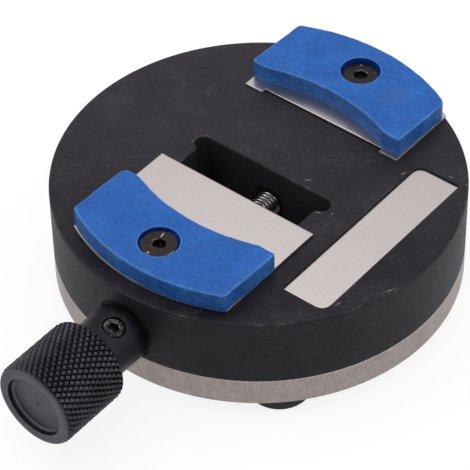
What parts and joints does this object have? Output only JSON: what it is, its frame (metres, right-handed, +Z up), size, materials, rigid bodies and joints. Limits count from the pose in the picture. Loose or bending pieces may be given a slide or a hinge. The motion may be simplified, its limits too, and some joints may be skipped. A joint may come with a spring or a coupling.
{
  "type": "circuit board holder",
  "caption": "Round bench holder for small circuit boards: a fixed rear jaw and a moving front jaw that a knurled knob drives by a lead screw, on a heavy rubber-footed base.",
  "frame": {"origin": "the disc's vertical axis at bench level, under the feet", "axes": "+Z up from the bench, +Y along the lead screw from the knob towards the fixed jaw, +X towards the blank strip"},
  "size_m": [0.08, 0.105, 0.0288],
  "materials": {
    "base_steel": "turned",
    "plate_steel": "brushed",
    "screw_steel": "bright",
    "black_oxide_steel": "black oxide",
    "insert_brass": "machined",
    "bush_polymer": "moulded",
    "foot_rubber": "matte",
    "black_composite": "satin",
    "blue_jaw": "satin",
    "knob_black": "black anodised, knurled"
  },
  "bodies": {
    "stand": {"base_plate": "base_steel", "base_screws": "black_oxide_steel", "base_inserts": "insert_brass", "foot_front_right": "foot_rubber", "foot_rear_right": "foot_rubber", "foot_rear_left": "foot_rubber", "foot_front_left": "foot_rubber", "holder_body": "black_composite", "label_strip": "plate_steel", "rear_plate": "plate_steel", "rear_jaw": "blue_jaw", "rear_jaw_screw": "black_oxide_steel", "rear_jaw_insert": "insert_brass", "front_bush": "bush_polymer", "rear_bush": "bush_polymer", "thrust_washer": "bush_polymer"},
    "drive": {"lead_screw": "screw_steel", "retaining_ring": "screw_steel", "knob": "knob_black", "knob_set_screw": "black_oxide_steel"},
    "slide": {"slide_block": "base_steel", "front_plate": "plate_steel", "front_plate_pins": "screw_steel", "front_jaw": "blue_jaw", "front_jaw_screw": "black_oxide_steel"}
  },
  "joints": [
    {"name": "screw_turn", "type": "hinge", "parent": "stand", "child": "drive", "pos_m": [0, -0.04, 0.0148], "axis": [0, -1, 0], "range_deg": [-540, 8325]},
    {"name": "jaw_slide", "type": "slide", "parent": "stand", "child": "slide", "axis": [0, 1, 0], "range_m": [-0.0012, 0.0185]}
  ],
  "couplings": [
    {"joint": "screw_turn", "follows": "jaw_slide", "rad_per_m": 7854}
  ]
}
